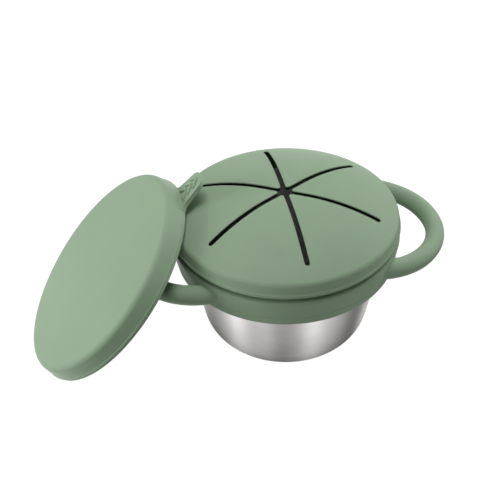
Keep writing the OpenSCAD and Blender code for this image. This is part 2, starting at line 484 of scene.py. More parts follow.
@dataclass(frozen=True)
class BrushedSteel:
    """Stainless steel with a satin brush that runs round the bowl."""

    name: str = "satin_steel"
    colour: tuple[float, float, float] = (0.66, 0.645, 0.635)
    tones: tuple[float, float] = (1.04, 0.93)
    line_scale: float = 2200
    band_scale: float = 420
    length_scale: float = 5
    line_height: float = 0.000008
    line_bump: float = 0.5
    roughness: tuple[float, float] = (0.40, 0.50)
    anisotropy: float = 0.95
    brush_turn: float = 0.25
    least_r: float = 0.001

    def material(self) -> Material:
        """Builds the material.

        Returns:
            The material, with its brush lines round the Z axis.
        """
        made, nodes, shader = new_material(self.name)
        texture = nodes.add("ShaderNodeTexCoord").outputs["Object"]
        place = nodes.add("ShaderNodeSeparateXYZ", {0: texture})
        x, y, z = (place.outputs[i] for i in range(3))
        squares = [nodes.maths("MULTIPLY", k, k) for k in (x, y)]
        radius = nodes.maths("SQRT", nodes.maths("ADD", *squares))
        safe = nodes.maths("MAXIMUM", radius, self.least_r)

        def streaks(scale: float, detail: float) -> NodeSocket:
            """Noise that is long round the axis and short across it."""
            around = [
                nodes.maths("MULTIPLY", nodes.maths("DIVIDE", k, safe), self.length_scale)
                for k in (x, y)
            ]
            height, depth = (nodes.maths("MULTIPLY", k, scale) for k in (z, radius))
            vector = nodes.out("ShaderNodeCombineXYZ", dict(enumerate([*around, height])))
            return nodes.out(
                "ShaderNodeTexNoise",
                {"Vector": vector, "W": depth, "Scale": 1.0, "Detail": detail},
                noise_dimensions="4D",
            )

        lines = streaks(self.line_scale, 2.0)
        bands = streaks(self.band_scale, 3.0)
        light, dark = ((*(min(1.0, c * k) for c in self.colour), 1.0) for k in self.tones)
        mix = nodes.add("ShaderNodeMix", {0: bands, 6: dark, 7: light}, data_type="RGBA")
        bump = nodes.out(
            "ShaderNodeBump",
            {"Strength": self.line_bump, "Distance": self.line_height, "Height": lines},
        )
        nodes.feed(shader, {
            "Base Color": mix.outputs[2], "Roughness": nodes.spread(bands, *self.roughness),
            "Normal": bump, "Metallic": 1.0, "Anisotropic": self.anisotropy,
            "Anisotropic Rotation": self.brush_turn,
            "Tangent": nodes.out("ShaderNodeTangent", direction_type="RADIAL", axis="Z"),
        })
        return made


def dress(
    piece: Object, finish: Silicone | BrushedSteel, slot: Slot, body: Body | None, *nodes: str
) -> Object:
    """Gives a piece its finish, its body and the CAD nodes that it stands for.

    Args:
        piece: The piece.
        finish: Its finish.
        slot: The record's slot that the finish comes from; not used.
        body: The body it rides on, or None for a piece that rides on no body.
        *nodes: CAD nodes that it replaces.

    Returns:
        The piece.
    """
    piece.data.materials.clear()
    piece.data.materials.append(bpy.data.materials.get(finish.name) or finish.material())
    if body:
        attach(piece, body.value)
    if nodes:
        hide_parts(*nodes)
    LOG.info("%s stands for %s", piece.name, ", ".join(nodes) or "nothing")
    return piece


# Bowl.


@dataclass
class SteelBowl:
    """Pressed bowl with a leaning wall, a round corner and a rolled rim."""

    rim_d: float = 109.6
    height: float = 70.8
    draft: float = 9.8
    corner_r: float = 17
    steel_t: float = 0.8
    bead_d: float = 2.2
    foot_in: float = 1.6
    foot_rise: float = 0.5
    foot_slope: float = 1.2
    foot_r: float = 0.9
    neck: float = 1.6
    tuck_wall: float = 0.9
    tuck_out: float = 0.02
    tuck_drop: float = 0.75
    segments: int = 288

    @property
    def bead_z(self) -> float:
        """Height of the rim's centre."""
        return self.height - self.bead_d / 2

    @property
    def mouth_r(self) -> float:
        """Outer radius of the wall at the rim's centre."""
        return self.rim_d / 2 + self.steel_t - self.bead_d

    def wall_r(self, z: float | Array) -> float | Array:
        """Outer radius of the wall at a height."""
        return self.mouth_r - (self.bead_z - z) * math.tan(math.radians(self.draft))

    def bore_r(self, z: float | Array) -> float | Array:
        """Inner radius of the wall at a height."""
        return self.wall_r(z) - self.steel_t / math.cos(math.radians(self.draft))

    def section(self) -> Array:
        """Section from the axis, out and up to the rim, and back along the inside."""
        t, bead = self.steel_t, self.bead_d / 2
        base = self.wall_r(0) - self.corner_r * math.tan(math.radians(45 - self.draft / 2))
        foot, neck = base - self.foot_in, self.bead_z - self.neck
        outer = rounded_path(
            [(0, self.foot_rise), (foot - self.foot_slope, self.foot_rise), (foot, 0),
             (self.wall_r(0), 0), (self.wall_r(neck), neck)],
            [0, self.foot_r, self.foot_r, self.corner_r, 0], 28,
        )
        curl = arc((self.mouth_r - t + bead, self.bead_z), bead, -70, 180, 26)
        tuck_r = self.wall_r(self.bead_z - self.tuck_wall) + self.tuck_out
        tuck = np.array([(tuck_r, self.bead_z - self.tuck_drop)])
        inner = rounded_path(
            [(self.bore_r(self.bead_z), self.bead_z), (self.bore_r(t), t), (foot, t),
             (foot - self.foot_slope, t + self.foot_rise), (0, t + self.foot_rise)],
            [0, self.corner_r - t, self.foot_r, self.foot_r, 0], 28,
        )
        return np.concatenate([outer, tuck, curl, inner])

    def build(self) -> Object:
        """Builds and dresses the bowl."""
        piece = turned(dense(self.section(), 2.5), self.segments, "bowl_shell", 50)
        return dress(piece, BrushedSteel(), Slot.STEEL, Body.BOWL, "steel_bowl")


def dense(section: Array, longest: float) -> Array:
    """Adds points to a section so that no step is longer than a limit."""
    out = [section[:1]]
    for a, b in zip(section, section[1:]):
        count = max(1, math.ceil(float(np.linalg.norm(b - a)) / longest))
        share = np.linspace(0, 1, count + 1)[1:, None]
        out.append(a + (b - a) * share)
    return np.concatenate(out)


# Sleeve.


def round_union(a: Array, b: Array, radius: float) -> Array:
    """Joins two distance fields with a fillet."""
    u, v = np.maximum(radius - a, 0), np.maximum(radius - b, 0)
    return np.maximum(radius, np.minimum(a, b)) - np.hypot(u, v)


def round_cut(a: Array, b: Array, radius: float) -> Array:
    """Keeps what lies in both distance fields, with a rounded edge."""
    u, v = np.maximum(radius + a, 0), np.maximum(radius + b, 0)
    return np.minimum(-radius, np.maximum(a, b)) + np.hypot(u, v)


@dataclass
class HandleSleeve:
    """Soft band round the bowl with a thin collar and two loop handles."""

    bowl: SteelBowl
    band_z0: float = 47.6
    band_z1: float = 63.8
    band_r0: float = 55.5
    band_r1: float = 57.8
    collar_z: float = 68.3
    shoulder_r: float = 2.4
    hem_r: float = 1.2
    grip_r: float = 4.7
    loop_r: float = 35
    loop_x: float = 42.7125
    loop_z: float = 56.2
    droop: float = 3
    gap: float = 0.3
    root_fillet: float = 1.1
    seam_band_z: float = 52.2
    seam_loop_drop: float = 3.1
    seam_h: float = 0.19
    seam_w: float = 0.2
    seam_ramp: float = 3.5
    leg: float = 12
    collar_foot: float = 3
    collar_edge: float = 0.5
    bore_edge: float = 0.3
    steps_round: int = 620
    grid_r: tuple[float, float, float] = (48.6, 84.4, 0.56)
    levels_below: tuple[float, float, int] = (-5.6, -0.95, 9)
    levels_at_seam: tuple[float, ...] = (-0.52, -0.3, -0.1, 0.1, 0.3, 0.52)
    levels_above: tuple[float, float, int] = (0.95, 17.2, 29)

    def loop(self, x: Array, y: Array, z: Array) -> Array:
        """Distance to the two loops."""
        cos, sin = cos_sin(self.droop)
        out, up = np.abs(x) - self.loop_x, z - self.loop_z
        along, over = out * cos - up * sin, out * sin + up * cos
        side = np.where(along > 0, np.hypot(along, y), np.abs(y)) - self.loop_r
        back = np.maximum(-along - self.leg, 0)
        return np.sqrt(side**2 + over**2 + back**2) - self.grip_r

    def seam_z(self, x: Array, y: Array) -> Array:
        """Height of the parting line at a place in plan."""
        radius = np.hypot(x, y)
        away = np.clip((radius - self.band_r1) / self.seam_ramp, 0, 1)
        away = away * away * (3 - 2 * away)
        out = np.maximum(np.abs(x) - self.loop_x, 0)
        low = self.loop_z - out * math.tan(math.radians(self.droop)) - self.seam_loop_drop
        return self.seam_band_z + away * (low - self.seam_band_z)

    def field(self, x: Array, y: Array, z: Array) -> Array:
        """Distance to the whole sleeve, negative inside."""
        radius = np.hypot(x, y)
        slope = (self.band_r1 - self.band_r0) / (self.band_z1 - self.band_z0)
        outer = (radius - self.band_r0 - (z - self.band_z0) * slope) / math.hypot(1, slope)
        band = round_cut(outer, self.band_z0 - z, self.hem_r)
        band = round_cut(band, z - self.band_z1, self.shoulder_r)
        collar = round_cut(radius - self.bowl.rim_d / 2, z - self.collar_z, self.collar_edge)
        collar = np.maximum(collar, self.band_z0 + self.collar_foot - z)
        body = round_union(band, collar, self.collar_edge)
        body = round_union(body, self.loop(x, y, z), self.root_fillet)
        drop = z - self.seam_z(x, y)
        body = body - self.seam_h * np.exp(-((drop / self.seam_w) ** 2))
        lean = math.cos(math.radians(self.bowl.draft))
        bore = (self.bowl.wall_r(z) + self.gap - radius) * lean
        return round_cut(body, bore, self.bore_edge)

    def build(self) -> Object:
        """Builds the sleeve as the zero level of its distance field, and dresses it."""
        below, above = np.linspace(*self.levels_below), np.linspace(*self.levels_above)
        levels = np.concatenate([below, self.levels_at_seam, above])
        radii = np.arange(*self.grid_r)
        angles = np.arange(self.steps_round) * (math.tau / self.steps_round)

        def place(r: Array, a: Array, w: Array) -> tuple[Array, Array, Array]:
            """Point in space for a radius, an angle and a height over the parting line."""
            x, y = r * np.cos(a), r * np.sin(a)
            return x, y, w + self.seam_z(x, y)

        grid = np.meshgrid(radii, angles, levels, indexing="ij")
        values = self.field(*place(*grid))
        verts, faces = surface_net(values, radii, angles, levels)
        points = np.stack(place(verts[:, 0], verts[:, 1], verts[:, 2]), 1)
        for _ in range(3):
            points = self.settle(points)
        piece = make_object("sleeve_with_loops", points, faces, 60)
        return dress(piece, Silicone(), Slot.SILICONE, Body.SLEEVE, "handle_sleeve")

    def settle(self, points: Array) -> Array:
        """Moves points along the field's slope onto its zero level."""
        step, least, furthest = 0.01, 0.05, 0.4
        nudges = [np.array(nudge)[:, None] for nudge in np.eye(3) * step]
        slope = np.stack(
            [self.field(*(points.T + n)) - self.field(*(points.T - n)) for n in nudges], 1
        ) / (2 * step)
        size = np.maximum((slope**2).sum(1), least)
        share = np.clip(self.field(*points.T) / size, -furthest, furthest)
        return points - share[:, None] * slope


def surface_net(values: Array, radii: Array, angles: Array, levels: Array) -> tuple[Array, Array]:
    """Quads along the zero level of a field sampled on a grid that closes round the axis.

    Args:
        values: Field by radius, angle and level.
        radii: Radii of the grid.
        angles: Angles of the grid; the last step joins the first.
        levels: Levels of the grid.

    Returns:
        Points as (radius, angle, level), and the quads.
    """
    inside = values < 0
    count = len(angles)
    step = math.tau / count
    wide = np.concatenate([values, values[:, :1]], 1)
    axes = (radii, np.append(angles, angles[-1] + step), levels)
    shape = (len(radii) - 1, count, len(levels) - 1)
    total = np.zeros(shape + (3,))
    crossings = np.zeros(shape)
    corner = np.stack(np.meshgrid(*(np.arange(n) for n in shape), indexing="ij"), -1)
    for axis in range(3):
        others = [a for a in range(3) if a != axis]
        for p in (0, 1):
            for q in (0, 1):
                low = [0, 0, 0]
                low[others[0]], low[others[1]] = p, q
                high = list(low)
                high[axis] = 1
                a = wide[tuple(slice(l, l + n) for l, n in zip(low, shape))]
                b = wide[tuple(slice(h, h + n) for h, n in zip(high, shape))]
                crosses = (a < 0) != (b < 0)
                share = np.where(crosses, a / np.where(crosses, a - b, 1), 0)
                for k in range(3):
                    first = axes[k][corner[..., k] + low[k]]
                    if k == axis:
                        first = first + share * (axes[k][corner[..., k] + 1] - first)
                    total[..., k] += np.where(crosses, first, 0)
                crossings += crosses
    used = crossings > 0
    index = np.full(shape, -1)
    index[used] = np.arange(used.sum())
    verts = total[used] / crossings[used][:, None]
    faces: list[Array] = []
    for axis in range(3):
        others = [a for a in range(3) if a != axis]
        if axis == 1:
            cur, nxt = inside, np.roll(inside, -1, 1)
        else:
            last = inside.shape[axis] - 1
            cur, nxt = (np.take(inside, range(k, last + k), axis) for k in (0, 1))
        where = np.argwhere(cur != nxt)
        flip = cur[tuple(where.T)]
        cells = []
        for p, q in ((0, 0), (1, 0), (1, 1), (0, 1)):
            cell = where.copy()
            cell[:, others[0]] -= p
            cell[:, others[1]] -= q
            cell[:, 1] %= count
            cells.append(cell)
        quad = np.stack([index[tuple(np.clip(c, 0, np.array(shape) - 1).T)] for c in cells], 1)
        if axis == 1:
            flip = ~flip
        quad[flip] = quad[flip][:, ::-1]
        faces.append(quad[(quad >= 0).all(1)])
    return verts, np.concatenate(faces)


# Lids.


@dataclass
class LidForm:
    """Section that both lids share, with heights from the skirt's lower edge."""

    bowl: SteelBowl
    height: float
    rise: float
    flat: float
    lid_r: float = 57.5
    draft: float = 12
    parting_z: float = 1.8
    parting_in: float = 0.3
    edge_r: float = 3
    skin_t: float = 2
    plug_t: float = 2.2
    plug_drop: float = 0.85
    plug_gap: float = 0.5
    skirt_in: float = 55.2
    under_drop: float = 0.5
    foot_radii: tuple[float, ...] = (0, 0.45, 0.4, 0.5, 0.5, 0.45, 0.45, 0)
    shelf_z: float = 5.5
    lid_z: float = 65.6
    bead_h: float = 0.2

    @property
    def arc_r(self) -> float:
        """Radius of the crown's arc."""
        return ((self.lid_r - self.flat) ** 2 + self.rise**2) / (2 * self.rise)

    @property
    def edge_centre(self) -> Array:
        """Centre of the rounding between the crown and the skirt."""
        cos, sin = cos_sin(self.draft)
        drop = self.parting_z - self.height + self.arc_r
        reach = (self.lid_r - self.flat) * cos - self.edge_r + drop * sin
        span = math.sqrt((self.arc_r - self.edge_r) ** 2 - reach**2)
        return np.array([self.flat + reach * cos - span * sin,
                         self.height - self.arc_r + reach * sin + span * cos])

    @property
    def plug_in(self) -> float:
        """Inner radius of the plug ring."""
        return self.plug_out(-self.plug_drop) - self.plug_t

    def plug_out(self, z: float) -> float:
        """Outer radius of the plug ring at a height."""
        return self.bowl.bore_r(self.lid_z + z) - self.plug_gap

    def skin(self, radius: Array, depth: float = 0) -> Array:
        """Height of the crown, or of a surface at a depth below it."""
        out = np.maximum(np.asarray(radius, float) - self.flat, 0)
        return self.height - self.arc_r + np.sqrt((self.arc_r - depth) ** 2 - out**2)

    def skirt_path(self, start_r: float) -> Array:
        """Section from the crown at a radius, round the skirt and plug, to the inner corner."""
        base = np.array([self.flat, self.height - self.arc_r])
        centre = self.edge_centre
        top_angle = math.degrees(math.atan2(*(centre - base)[::-1]))
        start_angle = math.degrees(math.acos((start_r - self.flat) / self.arc_r))
        crown = arc(base, self.arc_r, start_angle, top_angle, 14)
        edge = arc(centre, self.edge_r, top_angle, self.draft, 14)
        side = edge[-1]
        z, crest = self.parting_z, self.lid_r
        foot = crest - self.bead_h
        slope = (foot - side[0]) / (side[1] - z)

        def skirt_r(z: float) -> float:
            """Radius of the skirt at a height over the parting line."""
            return foot - (z - self.parting_z) * slope

        under = self.lid_r - self.parting_in
        bead = np.array([
            (skirt_r(z + 1.2), z + 1.2), (skirt_r(z + 0.42), z + 0.42),
            (skirt_r(z + 0.27) + self.bead_h * 0.6, z + 0.27), (crest, z + 0.12),
            (crest, z - 0.02), (foot + self.bead_h * 0.3, z - 0.14),
            (under + 0.08, z - 0.22), (under, z - 0.36),
        ])
        shelf, plug, ceiling = self.shelf_z, -self.plug_drop, self.skin(self.plug_in, self.skin_t)
        low = rounded_path(
            [(under, z - self.under_drop), (under, 0), (self.skirt_in, 0), (self.skirt_in, shelf),
             (self.plug_out(shelf), shelf), (self.plug_out(plug), plug),
             (self.plug_in, plug), (self.plug_in, float(ceiling))],
            self.foot_radii,
        )
        return np.concatenate([crown, edge, bead, low])


@dataclass
class SnackLid:
    """Lid with six slits that meet in the middle, and the flaps between them."""

    bowl: SteelBowl
    form: LidForm = field(init=False)
    turn: float = 0.7
    petals: int = 6
    slit_end: float = 48
    slit_w: float = 2.5
    tip_r: float = 1.25
    bevel: float = 0.42
    # How far the painted shade reaches over the lower face from a slit.
    shade_reach: float = 1.2
    seam_x: float = 41.1
    bend_x: float = 35.1
    across: int = 15
    hinge_z: float = 13.4
    near_cut: tuple[float, ...] = (0, 0.05, 0.11, 0.18, 0.26, 0.34, 0.6, 1.1, 1.9)
    near_span: float = 22.0
    middle_from: float = 0.14

    def __post_init__(self) -> None:
        """Sets the lid's section."""
        self.form = LidForm(self.bowl, height=19.4, rise=12.5, flat=11)

    @property
    def half_pitch(self) -> float:
        """Half the angle from one flap to the next, in degrees."""
        return 180 / self.petals

    @property
    def tip_x(self) -> float:
        """Distance from the lid's axis to the centre of a flap's round tip."""
        return 2 * (self.tip_r + self.slit_w / 2)

    def columns(self) -> Array:
        """Shares across a flap from -1 to 1, close together at the slits."""
        near = np.array(self.near_cut) / self.near_span
        middle = np.linspace(self.middle_from, 1, self.across)
        half = 1 - np.concatenate([near, middle])
        return np.concatenate([-half[:-1], half[::-1]])

    def half_width(self, x: Array) -> Array:
        """Half the width of a flap at a distance from the centre."""
        side = math.radians(self.half_pitch)
        wedge = x * math.tan(side) - self.slit_w / 2 / math.cos(side)
        cap = np.sqrt(np.maximum(self.tip_r**2 - (x - self.tip_x) ** 2, 0))
        return np.where(x < self.tip_x - self.tip_r / 2, cap, wedge)

    def slit_distance(self, x: Array, y: Array) -> Array:
        """Distance to the nearer slit's edge, for a point in a flap's sixth of the lid."""
        cos, sin = cos_sin(self.half_pitch)
        y = np.abs(y)
        along = np.clip(x * cos + y * sin, 0, self.slit_end - self.slit_w / 2)
        return np.hypot(x - along * cos, y - along * sin) - self.slit_w / 2

    def edge_distance(self, x: Array, y: Array) -> Array:
        """Distance from a flap's edge, with its round tip."""
        from_tip = self.tip_r - np.hypot(x - self.tip_x, y)
        ahead = (self.tip_x - x) > np.abs(y) * math.tan(math.radians(self.half_pitch))
        return np.where(ahead, from_tip, self.slit_distance(x, y))

    def top(self, x: Array, y: Array, distance: Array) -> Array:
        """Height of the top face in the row frame."""
        return self.form.lid_z + self.form.skin(np.hypot(x, y)) - edge_drop(distance, self.bevel)

    def under(self, x: Array, y: Array, distance: Array) -> Array:
        """Height of the lower face in the row frame."""
        lower = self.form.skin(np.hypot(x, y), self.form.skin_t)
        return self.form.lid_z + lower + edge_drop(distance, self.bevel / 2)

    def shade(self, distance: Array) -> Array:
        """Painted shade for each point of a plate: 0 on the top face, 1 at a slit's lower edge,
        fading over the lower face.
        """
        lower = np.clip(1 - distance / self.shade_reach, 0, 1).ravel()
        return np.concatenate([np.zeros(lower.size), lower])

    def turn_to(self, points: Array, sector: float) -> Array:
        """Turns points of the first flap's sixth to another one."""
        cos, sin = cos_sin(self.turn + 2 * self.half_pitch * sector)
        x, y, z = points.T
        return np.stack([x * cos - y * sin, x * sin + y * cos, z], 1)

    def plate(
        self, x: Array, y: Array, distance: Array, walls: Sequence[str]
    ) -> tuple[Array, list]:
        """Closed plate between the lid's two faces over a grid in plan.

        Args:
            x: Distances from the centre, by row and column.
            y: Places across, by row and column.
            distance: Distance from the free edge at each point.
            walls: Sides of the grid that get a wall, of first, last, left and right.

        Returns:
            The points and the faces.
        """
        rows, cols = x.shape
        upper = np.stack([x, y, self.top(x, y, distance)], -1).reshape(-1, 3)
        lower = np.stack([x, y, self.under(x, y, distance)], -1).reshape(-1, 3)
        top = np.arange(rows * cols).reshape(rows, cols)
        low = top + rows * cols
        faces = strip_faces(list(top)) + [f[::-1] for f in strip_faces(list(low))]
        sides = {"first": (top[0], low[0]), "last": (top[-1], low[-1]),
                 "left": (top[:, 0], low[:, 0]), "right": (top[:, -1], low[:, -1])}
        for wall in walls:
            faces += strip_faces(list(sides[wall]))
        return np.concatenate([upper, lower]), faces

    def flap(self, number: int) -> Object:
        """Builds one flap, with close rows where it meets the lid."""
        sweep = np.radians(np.linspace(0, 90 - self.half_pitch, 19))
        cap = self.tip_x - self.tip_r * np.cos(sweep)
        bend = np.linspace(self.bend_x - 1.5, self.seam_x, 20)
        rows = np.concatenate([cap, np.linspace(cap[-1], bend[0], 26)[1:-1], bend])
        cols = self.columns()
        x = np.repeat(rows[:, None], len(cols), 1)
        y = self.half_width(x) * cols[None]
        distance = self.edge_distance(x, y)
        points, faces = self.plate(x, y, distance, ("last", "left", "right"))
        points = self.turn_to(points, number - 1)
        piece = make_object(f"flap_{number}", points, faces, 45, self.shade(distance))
        dress(piece, Silicone(), Slot.SILICONE, None, f"petal_{number}")
        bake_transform(piece)
        return piece

    def sector(self, number: int) -> tuple[Array, list, Array]:
        """Plate between a flap's seam and the plug ring, round the ends of two slits."""
        cos, sin = cos_sin(self.half_pitch)
        rim = self.form.plug_in
        cols = self.columns()
        half = float(self.half_width(np.array(self.seam_x)))
        centre = (self.slit_end - self.slit_w / 2) * np.array([cos, sin])
        bend = np.radians(np.linspace(self.half_pitch - 90, self.half_pitch, 13))
        end = centre + self.slit_w / 2 * np.stack([np.cos(bend), np.sin(bend)], 1)
        ray_r = self.slit_end + np.array([0.05, 0.12, 0.2, 0.28, 0.36, 0.6, 0.8])
        ray = np.concatenate([ray_r[ray_r < rim - 0.05], [rim]])[:, None] * np.array([cos, sin])
        right = np.concatenate([[(self.seam_x, half)], end, ray])
        lengths = np.append(0, np.cumsum(np.linalg.norm(np.diff(right, axis=0), axis=1)))
        v = (lengths / lengths[-1])[:, None]
        s = ((cols + 1) / 2)[None]
        chord = np.stack([np.full(len(cols), self.seam_x), half * cols], 1)
        sweep = np.radians(self.half_pitch) * cols
        circle = rim * np.stack([np.cos(sweep), np.sin(sweep)], 1)
        left = right * np.array([1, -1])
        grid = np.zeros((len(right), len(cols), 2))
        for k in range(2):
            across = (1 - v) * chord[None, :, k] + v * circle[None, :, k]
            along = (1 - s) * left[:, k][:, None] + s * right[:, k][:, None]
            flat = (
                (1 - v) * ((1 - s) * chord[0, k] + s * chord[-1, k])
                + v * ((1 - s) * circle[0, k] + s * circle[-1, k])
            )
            grid[..., k] = across + along - flat
        x, y = grid[..., 0], grid[..., 1]
        distance = np.maximum(self.slit_distance(x, y), 0)
        points, faces = self.plate(x, y, distance, ("first",))
        rows, width = x.shape
        free = 1 + len(end)
        top = np.arange(rows * width).reshape(rows, width)
        for column in (0, -1):
            edge = top[:free, column]
            faces += strip_faces([edge, edge + rows * width])
        return self.turn_to(points, number - 1), faces, self.shade(distance)

    def ring(self) -> Object:
        """Builds the part of the lid that stays on the bowl."""
        path = dense(self.form.skirt_path(self.form.plug_in), 1.5)
        cols = self.columns()
        half = self.half_pitch
        angles = np.radians(np.concatenate(
            [self.turn + 2 * half * k + half * cols[:-1] for k in range(self.petals)]
        ))
        cos, sin = np.cos(angles), np.sin(angles)
        points = np.stack(
            [path[:, 0][:, None] * cos, path[:, 0][:, None] * sin,
             np.repeat(path[:, 1][:, None] + self.form.lid_z, len(angles), 1)], -1
        ).reshape(-1, 3)
        index = np.arange(len(points)).reshape(len(path), len(angles))
        index = np.concatenate([index, index[:, :1]], 1)
        faces = strip_faces(list(index))
        all_points, shades, offset = [points], [np.zeros(len(points))], len(points)
        for number in range(1, self.petals + 1):
            more, more_faces, shade = self.sector(number)
            shades.append(shade)
            faces += [tuple(i + offset for i in f) for f in more_faces]
            all_points.append(more)
            offset += len(more)
        verts, shade = np.concatenate(all_points), np.concatenate(shades)
        piece = make_object("snack_lid_ring", verts, faces, 45, shade)
        return dress(piece, Silicone(), Slot.SILICONE, Body.SNACK_LID, "snack_lid")

    def build(self) -> list[Object]:
        """Builds the ring and the flaps."""
        return [self.ring()] + [self.flap(n) for n in range(1, self.petals + 1)]


@dataclass
class PullTab:
    """Tab on the storage lid's skirt, with curved ribs for grip."""

    root_r: float = 55.8
    base_r: float = 57.2
    skirt_r: float = 57.3
    length: float = 15
    root_w: float = 17
    end_w: float = 13
    thick: float = 2.2
    corner_r: float = 4
    edge_r: float = 0.35
    under_r: float = 0.2
    fillet: float = 1.4
    flare: float = 2.2
    lip: tuple[tuple[float, float], ...] = ((0.66, 0.0), (0.54, 0.1), (0.4, 0.2), (0.24, 0.2))
    ribs: int = 3
    rib_pitch: float = 3.9
    rib_bow: float = 1.7
    rib_w: float = 1.5
    rib_h: float = 0.9
    rib_half: float = 4.4
    rib_shift: float = 0.6
    rib_steps: int = 33
    rib_sides: int = 16
    rib_wave: float = 3.0
    rib_taper: float = 14.0
    rib_least: float = 0.08
    root_in: float = 2.2
    root_out: float = 2.4
    near_edge: tuple[float, ...] = (0, 0.04, 0.1, 0.17, 0.25, 0.35, 0.6, 1.0)
    near_span: float = 7.5

    @property
    def end_x(self) -> float:
        """Distance of the tab's end from the lid's axis."""
        return self.base_r + self.length

    def half(self, x: Array, y_hint: float = 8.0) -> Array:
        """Half the width of the tab at a distance from the lid's axis."""
        bend = self.end_x - self.corner_r
        share = np.clip((x - self.skirt_r) / (bend - self.skirt_r), 0, 1)
        straight = self.root_w / 2 + (self.end_w - self.root_w) / 2 * share
        reach = np.clip(x - bend, 0, self.corner_r)
        curve = np.sqrt(np.maximum(self.corner_r**2 - reach**2, 0))
        round_end = self.end_w / 2 - self.corner_r + curve
        near = np.clip(self.flare - (np.hypot(x, y_hint) - self.skirt_r), 0, self.flare)
        flared = self.flare - np.sqrt(self.flare**2 - near**2)
        return np.where(x > bend, round_end, straight) + flared

    def plate(self) -> tuple[Array, list]:
        """Closed plate in the lid's frame, with the tab along +X."""
        bend = self.end_x - self.corner_r
        root = np.linspace(self.root_r - self.root_in, self.skirt_r + self.root_out, 24)
        body = np.linspace(root[-1], bend, 14)[1:]
        tip = bend + self.corner_r * np.sin(np.radians(np.linspace(0, 90, 19)))[1:]
        rows = np.concatenate([root, body, tip])
        near = np.array(self.near_edge) / self.near_span
        half_cols = 1 - np.concatenate([near, np.linspace(0.2, 1, 9)])
        cols = np.concatenate([-half_cols[:-1], half_cols[::-1]])
        x = np.repeat(rows[:, None], len(cols), 1)
        width = self.half(x)
        y = width * cols[None]
        side = np.abs(width) - np.abs(y)
        past = np.maximum(np.abs(y) - (self.end_w / 2 - self.corner_r), 0)
        corner = np.hypot(np.maximum(x - bend, 0), past)
        distance = np.clip(np.where(x > bend, self.corner_r - corner, side), 0, None)
        rise = self.fillet
        skirt = self.skirt_r - self.under_r
        close = np.clip(rise - (np.hypot(x, y) - skirt), 0, rise)
        swell = rise - np.sqrt(np.maximum(rise**2 - close**2, 0))
        high = self.thick - edge_drop(distance, self.edge_r) + swell
        upper = np.stack([x, y, high], -1).reshape(-1, 3)
        lower = np.stack([x, y, edge_drop(distance, self.under_r)], -1).reshape(-1, 3)
        count = x.size
        top = np.arange(count).reshape(x.shape)
        faces = strip_faces(list(top)) + [f[::-1] for f in strip_faces(list(top + count))]
        border = np.concatenate([top[:, 0], top[-1, 1:], top[::-1, -1][1:], top[0, ::-1][1:]])
        outward = self.outline_normal(upper[border][:, :2])
        lines = [border]
        points = [upper, lower]
        total = 2 * count
        for height, out in self.lip:
            place = upper[border][:, :2] + out * outward
            ring = np.column_stack([place, np.full(len(border), height)])
            lines.append(np.arange(total, total + len(border)))
            points.append(ring)
            total += len(border)
        lines.append(border + count)
        faces += strip_faces(lines)
        return np.concatenate(points), faces

    @staticmethod
    def outline_normal(outline: Array) -> Array:
        """Outward direction at each point of a closed outline."""
        ahead = np.roll(outline[:-1], -1, 0) - np.roll(outline[:-1], 1, 0)
        normal = np.stack([ahead[:, 1], -ahead[:, 0]], 1)
        normal /= np.maximum(np.linalg.norm(normal, axis=1), 1e-9)[:, None]
        inward = (normal * (outline[:-1] - outline[:-1].mean(0))).sum(1) < 0
        normal[inward] *= -1
        return np.concatenate([normal, normal[:1]])

    def rib_tree(self) -> NodeTree:
        """Tree that bows a line into a rib and repeats it along the tab."""
        nodes, start = new_tree("tab_ribs", {
            "Count": ("NodeSocketInt", 3), "Pitch": ("NodeSocketFloat", 0.0039),
            "Half Length": ("NodeSocketFloat", 0.0044), "Bow": ("NodeSocketFloat", 0.0015),
            "Width": ("NodeSocketFloat", 0.0011), "Height": ("NodeSocketFloat", 0.0006),
        })
        half, bow = start.outputs["Half Length"], start.outputs["Bow"]
        low = nodes.out("ShaderNodeCombineXYZ", {"Y": nodes.maths("MULTIPLY", half, -1.0)})
        high = nodes.out("ShaderNodeCombineXYZ", {"Y": half})
        line = nodes.out("GeometryNodeCurvePrimitiveLine", {"Start": low, "End": high})
        many = nodes.out("GeometryNodeResampleCurve", {"Curve": line, "Count": self.rib_steps})
        position = nodes.out("GeometryNodeInputPosition")
        across = nodes.add("ShaderNodeSeparateXYZ", {0: position}).outputs["Y"]
        share = nodes.maths("MULTIPLY", nodes.maths("DIVIDE", across, half), self.rib_wave)
        wave = nodes.maths("MULTIPLY", nodes.maths("COSINE", share), bow)
        shift = nodes.out("ShaderNodeCombineXYZ", {"X": wave})
        bowed = nodes.out("GeometryNodeSetPosition", {"Geometry": many, "Offset": shift})
        edge = nodes.add("GeometryNodeSplineParameter").outputs["Factor"]
        from_end = nodes.maths("MINIMUM", edge, nodes.maths("SUBTRACT", 1.0, edge))
        steep = nodes.maths("MULTIPLY", from_end, self.rib_taper)
        full = nodes.maths("SQRT", nodes.maths("MINIMUM", steep, 1.0))
        taper = nodes.maths("MAXIMUM", full, self.rib_least)
        sized = nodes.out("GeometryNodeSetCurveRadius", {"Curve": bowed, "Radius": taper})
        width, height = start.outputs["Width"], start.outputs["Height"]
        ring = nodes.out(
            "GeometryNodeCurvePrimitiveCircle",
            {"Resolution": self.rib_sides, "Radius": nodes.maths("MULTIPLY", width, 0.5)},
            mode="RADIUS",
        )
        tube = nodes.add(
            "GeometryNodeCurveToMesh", {"Curve": sized, "Profile Curve": ring, "Fill Caps": True}
        )
        if "Scale" in tube.inputs:
            nodes.feed(tube, {"Scale": nodes.out("GeometryNodeInputRadius")})
        tall = nodes.maths("DIVIDE", nodes.maths("MULTIPLY", height, 2.0), width)
        shape = nodes.out("ShaderNodeCombineXYZ", {"X": 1.0, "Y": 1.0, "Z": tall})
        rib = nodes.out("GeometryNodeTransform", {"Geometry": tube.outputs[0], "Scale": shape})
